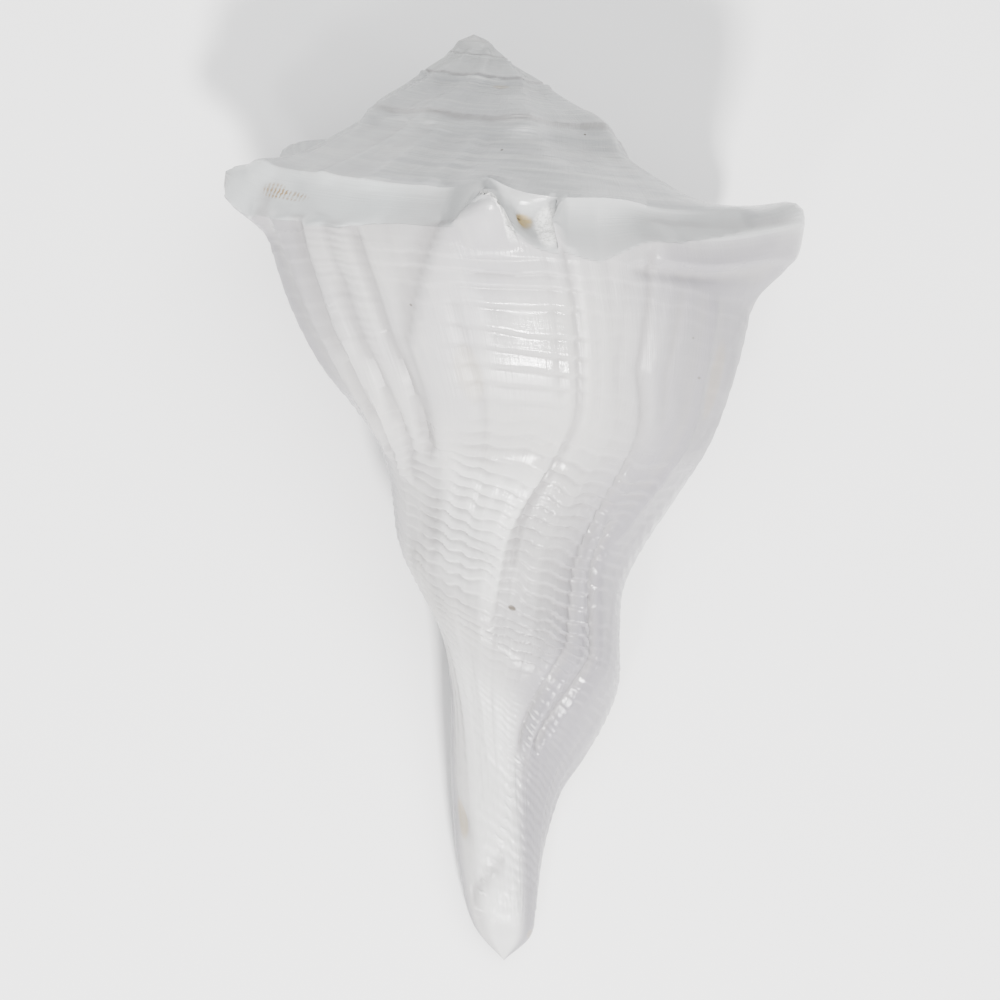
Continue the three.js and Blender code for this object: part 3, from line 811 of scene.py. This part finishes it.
class ShellFinish(Nodes):
    """The nodes of the finish, laid out by place and t."""

    def __init__(self, material):
        super().__init__(material)
        growth = self.add("ShaderNodeUVMap", uv_map="growth").outputs[0]
        self.place, self.t, _ = self.add("ShaderNodeSeparateXYZ", growth).outputs
        self.here = self.add("ShaderNodeTexCoord").outputs["Object"]
        self.cut, self.recess_shade = (self.add("ShaderNodeAttribute", attribute_name=name).outputs["Fac"]
                                 for name in ("cut", "recess_shade"))
        self.outside = self.ramp(self.t, 1.0, 1.1, 1.0, 0.0)
        self.on_ramp = self.ramp(self.place, 4.2, 5.6, 1.0, 0.0)
        self.wander = self.by_growth(0.8, 26.0, 2.0, 0.5)
        self.ragged = self.by_growth(5.0, 300.0, 3.0, 0.7)
        self.bands = self.by_growth(5.0, 5.0, 3.0, 0.65, self.wander)
        self.crumbs = self.noise(self.here, 1500.0, 3.0, 0.7)
        self.beads = self.wave(self.place, 34.0, self.wander, 6.0)
        self.pearls_and_glints = self.pearl_row()
        self.chalk = self.chalky_breaks()

    def by_growth(self, places, turns, detail=3.0, rough=0.6, shift=0.0):
        """Noise with so many swells to the place and to the turn."""
        round_it = self.plus(self.times(self.t, turns), shift)
        return self.noise(self.vector(self.times(self.place, places), round_it), 1.0, detail, rough)

    def wave(self, value, swells, bend, share):
        return self.math("SINE", self.plus(self.times(value, swells), self.times(bend, share)))

    def window(self, value, rises, risen, falls, fallen):
        """1 over a stretch, fading to 0 on either side of it."""
        return self.times(self.ramp(value, rises, risen), self.ramp(value, falls, fallen, 1.0, 0.0))

    def spots(self, marks):
        """How strongly a list of marks shows."""
        total = 0.0
        for at, down, wide, tall, strong in marks:
            across = self.times(self.math("SUBTRACT", self.t, at), 1 / wide)
            along_it = self.times(self.math("SUBTRACT", self.place, down), 1 / tall)
            far = self.plus(self.times(across, across), self.times(along_it, along_it))
            total = self.plus(self.ramp(far, 0.3, 1.0, strong, 0.0), total)
        return total

    def pearl_row(self):
        """The row of small polished beads down the crest of the canal, whose mask also paints them
        paler as glints.
        """
        across, along_it, up = self.add("ShaderNodeSeparateXYZ", self.here).outputs
        off = self.plus(across, self.times(along_it, -PEARLS_SLANT), -PEARLS_ACROSS)
        off = self.math("ABSOLUTE", off)
        row = self.times(self.ramp(off, 0.0004, 0.0014, 1.0, 0.0), self.ramp(up, 0.005, 0.010),
                         self.window(self.place, 14.8, 15.6, 20.2, 21.0), self.outside)
        gaps = self.ramp(self.noise(self.here, 420.0, 2.0), 0.42, 0.56)
        return self.times(self.ramp(self.beads, 0.0, 0.8), row, gaps)

    def chalky_breaks(self):
        """The unpolished edge of the broken knob and the wall of its pit."""
        lean = self.times(self.plus(self.place, -FACE_MIDDLE), -BROKEN_SLANT)
        off = self.plus(self.t, -BROKEN_T, lean, self.times(self.ragged, 0.002))
        broken = self.times(self.ramp(self.math("ABSOLUTE", off), 0.0022, 0.0040, 1.0, 0.0),
                            self.window(self.place, 3.7, 4.0, 5.4, 5.8))
        return self.plus(broken, self.spots(CHALKY_WALL))

    def fine_relief(self):
        """Threads, beads, grain and dimples too fine for the surface itself."""
        lines = self.times(self.by_growth(9.0, 7.0, shift=self.wander), 1.6,
                           self.plus(self.times(self.on_ramp, 0.8), 0.2))
        threads = self.times(self.wave(self.place, 19.0, self.wander, 9.0),
                             self.ramp(self.place, 2.2, 3.2, 1.0, 0.0), 0.30)
        beads = self.times(self.beads, self.window(self.place, 15.5, 16.5, 19.0, 20.5), 0.35)
        height = self.plus(lines, self.times(self.by_growth(0.9, 420.0, 4.0), 0.8),
                           self.times(self.noise(self.here, 160.0, 3.0), 0.45), threads, beads,
                           self.times(self.pearls_and_glints, 1.2), self.times(self.crumbs, self.chalk, 5.0))
        return self.times(height, self.outside, self.ramp(self.cut, 0.0, 1.0, 1.0, 0.35))

    def colour(self, settings):
        """Every tint laid over the one before it."""
        place, t = self.place, self.t
        clouds = self.ramp(self.noise(self.here, 28.0, 3.0, 0.55), 0.35, 0.7)
        streaks = self.ramp(self.by_growth(0.35, 95.0), 0.5, 0.75, 0.0, 0.35)
        bands = self.ramp(self.bands, 0.46, 0.64)
        apex = self.times(self.on_ramp, self.ramp(t, -2.5, -1.9, 1.0, 0.0))
        seam = self.plus(place, self.times(self.by_growth(0.0, 60.0, 3.0, 0.7), -0.35))
        # Painted shade: the sides that turn away from the lights, and the stretch just newer than the
        # growth line under the middle knob, are darkened toward lavender grey.
        side_shade = self.plus(self.ramp(t, -0.30, -0.17), self.ramp(t, -0.545, -0.455, 1.0, 0.0))
        newer = self.times(self.ramp(t, -0.301, -0.292), self.window(place, 9.5, 11.0, 14.0, 16.0))
        flank_shade = self.math("MAXIMUM", self.times(side_shade, self.ramp(place, 4.5, 6.0)),
                          self.times(newer, 0.34))
        # Painted light: the polished facet below the middle knob, which faces the main light, is made
        # paler.
        painted_facet_light = self.times(self.window(t, -0.41, -0.37, -0.300, -0.292),
                           self.window(place, 9.8, 10.8, 13.2, 14.2))
        # Painted light: a paler band along the crest of the canal.
        back = self.times(self.window(t, -0.44, -0.38, -0.27, -0.19), self.ramp(place, 15.6, 17.0))
        face = self.blend(self.ramp(t, -0.415, -0.380), rgb(0.56, 0.59, 0.59), rgb(0.42, 0.43, 0.43))
        chalk = self.blend(self.ramp(self.crumbs, 0.40, 0.58), rgb(0.60, 0.60, 0.585),
                           rgb(0.88, 0.88, 0.86))
        tan = self.times(self.spots(TAN_MARKS), self.ramp(self.ragged, 0.30, 0.52, 0.55, 1.0))
        dashes = self.ramp(self.wave(t, 1250.0, self.ragged, 7.0), -0.3, 0.35)
        cracks = self.times(self.spots(CRACKS), dashes, self.ramp(self.bands, 0.35, 0.6, 0.45, 1.0))
        colour = settings.body_colour
        for share, tint in (
            (clouds, settings.cloud_colour),
            (streaks, rgb(0.54, 0.525, 0.505)),
            # The spire and ramp colour, partly painted shade where the ramp faces up away from the
            # lights.
            (self.times(self.on_ramp, 0.6), settings.ramp_colour_with_shade),
            (self.times(bands, self.on_ramp, 0.75), rgb(0.50, 0.51, 0.50)),
            (self.times(apex, 0.6), rgb(0.56, 0.57, 0.56)),
            # A painted shade line along the suture, under the rolled edge of the older whorl.
            (self.ramp(seam, -0.07, 0.05, 0.4, 0.0), rgb(0.27, 0.25, 0.24)),
            # Painted shade on the flanks.
            (self.times(flank_shade, 0.85), settings.flank_shade_colour),
            # Painted light on the facet.
            (self.times(painted_facet_light, 0.6), rgb(0.70, 0.70, 0.69)),
            # Painted light along the canal.
            (self.times(back, 0.7), rgb(0.64, 0.64, 0.63)),
            # The beads are painted paler: partly worn white beads, partly painted glints that show
            # under any light.
            (self.times(self.pearls_and_glints, 0.55), rgb(0.85, 0.85, 0.84)),
            (self.times(self.cut, 0.85), face),
            (self.chalk, chalk),
            # Painted shade in the recesses of the relief, stronger below the keel than on the ramp.
            (self.times(self.recess_shade, self.ramp(place, 2.0, 5.0, 0.35, 0.65)), rgb(0.28, 0.268, 0.27)),
            (self.times(tan, 0.9), settings.stain_colour),
            (self.times(cracks, 0.95), rgb(0.28, 0.18, 0.07)),
            (self.spots(PORES), rgb(0.10, 0.085, 0.07)),
        ):
            colour = self.blend(share, colour, tint)
        return self.blend(self.outside, settings.hollow_colour, colour)

    def roughness(self, settings):
        """Polished with duller patches, and duller still beside the lit band below the knobs."""
        gloss = self.ramp(self.noise(self.here, 120.0, 4.0, 0.65), 0.45, 0.65,
                          settings.polished, settings.worn)
        aside = self.ramp(self.math("ABSOLUTE", self.plus(self.t, -LIT_T)), *LIT_FADE)
        for first, last in ((8.1, 8.5), (6.9, 6.6)):
            aside = self.math("MAXIMUM", aside, self.ramp(self.place, first, last))
        return self.plus(gloss, self.times(aside, self.window(self.place, 5.6, 6.4, 9.0, 10.0), 0.28))


def make_material(settings):
    """White polished shell: clouds, growth streaks, stains and pits, with painted shade on the spire,
    the flanks, the suture and the recesses, and painted light on a facet, the canal and its beads.
    """
    material = bpy.data.materials.new("polished_shell")
    finish = ShellFinish(material)
    bump = finish.add("ShaderNodeBump")
    finish.put(bump.inputs["Distance"], BUMP_HEIGHT)
    finish.put(bump.inputs["Height"], finish.fine_relief())
    shader = finish.shader
    finish.put(shader.inputs["Base Color"], finish.colour(settings))
    finish.put(shader.inputs["Normal"], bump.outputs[0])
    finish.put(shader.inputs["Roughness"], finish.roughness(settings))
    return material


def area_light(place, aim, size, power):
    bpy.ops.object.light_add(type="AREA", location=place)
    light = bpy.context.object
    light.data.size = size
    light.data.energy = power
    light.rotation_euler = (Vector(aim) - light.location).to_track_quat("-Z", "Y").to_euler()
    return light


def flat_matte(name, colour):
    material = bpy.data.materials.new(name)
    shader = Nodes(material).shader
    shader.inputs["Base Color"].default_value = colour
    shader.inputs["Roughness"].default_value = 0.9
    return material


# ---- Settings, operators and panel ----

def colour_property(name, description, default):
    return FloatVectorProperty(name=name, description=description, subtype="COLOR", size=4,
                               min=0, max=1, default=rgb(*default))


def number_property(name, description, default, least=0, **more):
    return FloatProperty(name=name, description=description, default=default, min=least, **more)


class ConchShellSettings(bpy.types.PropertyGroup):
    """Sizes and colours of the shell."""

    length: number_property("Length", "Distance from the apex to the tip of the canal",
                            LENGTH * MM, 0.02, unit="LENGTH")
    lip_wall: number_property("Lip Wall", "Thickness of the wall at the lip",
                              0.0014, 0.0005, unit="LENGTH")
    inner_wall: number_property("Inner Wall", "Thickness of the wall a quarter turn behind the lip",
                                0.0028, 0.0005, unit="LENGTH")
    relief: number_property("Relief", "How strongly cords, folds and growth lines stand out",
                            1.0, max=1.5, subtype="FACTOR")
    polished: number_property("Polished Roughness", "Roughness of the best polished patches",
                              0.12, 0.03, max=1, subtype="FACTOR")
    worn: number_property("Worn Roughness", "Roughness of the duller patches",
                          0.24, 0.03, max=1, subtype="FACTOR")
    body_colour: colour_property("Body", "Colour of the body whorl", BODY_COLOUR)
    cloud_colour: colour_property("Clouds", "Colour of the faint clouds on the body", CLOUD_COLOUR)
    # Partly painted shade: the ramp is painted darker where it faces up away from the lights.
    ramp_colour_with_shade: colour_property("Spire", "Colour of the spire and the shoulder ramp", RAMP_COLOUR_WITH_SHADE)
    # Painted shade: the flanks are painted darker where they turn away from the lights.
    flank_shade_colour: colour_property("Flanks", "Lavender-grey colour of the flanks", FLANK_SHADE_COLOUR)
    hollow_colour: colour_property("Hollow", "Colour inside the mouth", HOLLOW_COLOUR)
    stain_colour: colour_property("Stains", "Colour of the tan stains", STAIN_COLOUR)
    moved: FloatVectorProperty(
        name="Apex", description="Where the apex lies once the shell is grown",
        subtype="TRANSLATION", unit="LENGTH", size=3, precision=5)


class ConchStageSettings(bpy.types.PropertyGroup):
    """Sizes, colours and lights of the stage."""

    floor_size: number_property("Floor", "Side of the square floor", 6.0, 1, unit="LENGTH")
    floor_colour: colour_property("Floor Colour", "Colour of the floor", (0.92, 0.92, 0.92))
    sky: number_property("Sky", "Strength of the light from all round", 0.5)
    key_power: number_property("Key Light", "Power of the small main light",
                               KEY_POWER, unit="POWER")
    soft_power: number_property("Soft Light", "Power of the broad light overhead",
                                SOFT_POWER, unit="POWER")
    view_tilt: number_property("View Tilt", "How far the camera leans from square on to the back",
                               radians(4.0), radians(-90), subtype="ANGLE")
    view_distance: number_property("View Distance", "From the camera to the middle of the shell",
                                   0.7, 0.2, unit="LENGTH")
    view_width: number_property("View Width", "Width that the camera takes in at the shell",
                                0.1778, 0.05, unit="LENGTH")


class OBJECT_OT_conch_shell(bpy.types.Operator):
    """Grow the conch shell, lay it on the table and give it its finish"""

    bl_idname = "object.conch_shell"
    bl_label = "Grow Conch Shell"
    bl_options = {"REGISTER", "UNDO"}

    def execute(self, context):
        settings = context.scene.conch_shell
        sheets = grow_sheets(settings)
        everything = np.concatenate([sheet[1].reshape(-1, 3) for sheet in sheets])
        everything = laid(everything, settings.length)
        if not np.isfinite(everything).all():
            raise RuntimeError("the growing edge has no place at some growth")
        settings.moved = place_on_table(everything)
        moved = np.array(settings.moved)
        shell = sew([grid_patch(name, laid(points, settings.length) + moved, *rest)
                     for name, points, *rest in sheets])
        shell.data.materials.clear()
        shell.data.materials.append(make_material(settings))
        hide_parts("shell")
        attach(shell, "root")
        return {"FINISHED"}


class SCENE_OT_conch_stage(bpy.types.Operator):
    """Set the floor, the studio lights and the camera"""

    bl_idname = "scene.conch_stage"
    bl_label = "Set Conch Stage"
    bl_options = {"REGISTER", "UNDO"}

    def execute(self, context):
        settings = context.scene.conch_stage
        bpy.ops.mesh.primitive_plane_add(size=settings.floor_size)
        floor = context.object
        floor.name = "floor"
        floor.data.materials.append(flat_matte("pale_floor", settings.floor_colour))
        world = bpy.data.worlds.new("studio")
        context.scene.world = world
        world.use_nodes = True
        sky = world.node_tree.nodes["Background"]
        sky.inputs["Color"].default_value = rgb(0.96, 0.98, 1)
        sky.inputs["Strength"].default_value = settings.sky
        # The main light, a weaker one on its left, a low one from the right and a broad soft one.
        middle = (0, 0, 0.04)
        key = area_light((-0.04, -0.86, 0.87), middle, 0.17, settings.key_power)
        key.data.color = (1, 0.985, 0.965)
        area_light((-0.48, -0.68, 0.80), middle, 0.11, 4.5)
        area_light((0.80, -0.50, 0.34), (0, 0.02, 0.04), 0.09, 1.3)
        area_light((0, 0.1, 2.0), middle, 2.4, settings.soft_power)
        self.aim_camera(context, settings)
        return {"FINISHED"}

    def aim_camera(self, context, settings):
        """The camera looks squarely at the back of the shell, leaning a little to the spire."""
        bpy.ops.object.camera_add()
        camera = context.object
        shell = context.scene.conch_shell
        turn = rest_turn() @ Matrix.Rotation(-settings.view_tilt, 3, "X")
        target = Vector(laid(VIEW_CENTRE, shell.length)) + Vector(shell.moved)
        camera.location = target + turn @ Vector((0, 0, settings.view_distance))
        camera.rotation_euler = turn.to_euler()
        camera.data.lens = camera.data.sensor_width * settings.view_distance / settings.view_width
        context.scene.camera = camera


SHELL_SHOWN = [name for name in ConchShellSettings.__annotations__ if name != "moved"]
STAGE_SHOWN = list(ConchStageSettings.__annotations__)


class VIEW3D_PT_conch(bpy.types.Panel):
    """Everything of the conch shell in one place"""

    bl_label = "Conch Shell"
    bl_idname = "VIEW3D_PT_conch"
    bl_space_type = "VIEW_3D"
    bl_region_type = "UI"
    bl_category = "Conch"

    def draw(self, context):
        shell, stage = context.scene.conch_shell, context.scene.conch_stage
        column = self.layout.column()
        for name in SHELL_SHOWN:
            column.prop(shell, name)
        column.operator("object.conch_shell")
        column.separator()
        for name in STAGE_SHOWN:
            column.prop(stage, name)
        column.operator("scene.conch_stage")


CLASSES = (
    ConchShellSettings,
    ConchStageSettings,
    OBJECT_OT_conch_shell,
    SCENE_OT_conch_stage,
    VIEW3D_PT_conch,
)


def register():
    for kind in CLASSES:
        bpy.utils.register_class(kind)
    bpy.types.Scene.conch_shell = PointerProperty(type=ConchShellSettings)
    bpy.types.Scene.conch_stage = PointerProperty(type=ConchStageSettings)


def unregister():
    del bpy.types.Scene.conch_stage
    del bpy.types.Scene.conch_shell
    for kind in reversed(CLASSES):
        bpy.utils.unregister_class(kind)


def main():
    register()
    bpy.ops.object.conch_shell()
    bpy.ops.scene.conch_stage()


if __name__ == "__main__":
    main()
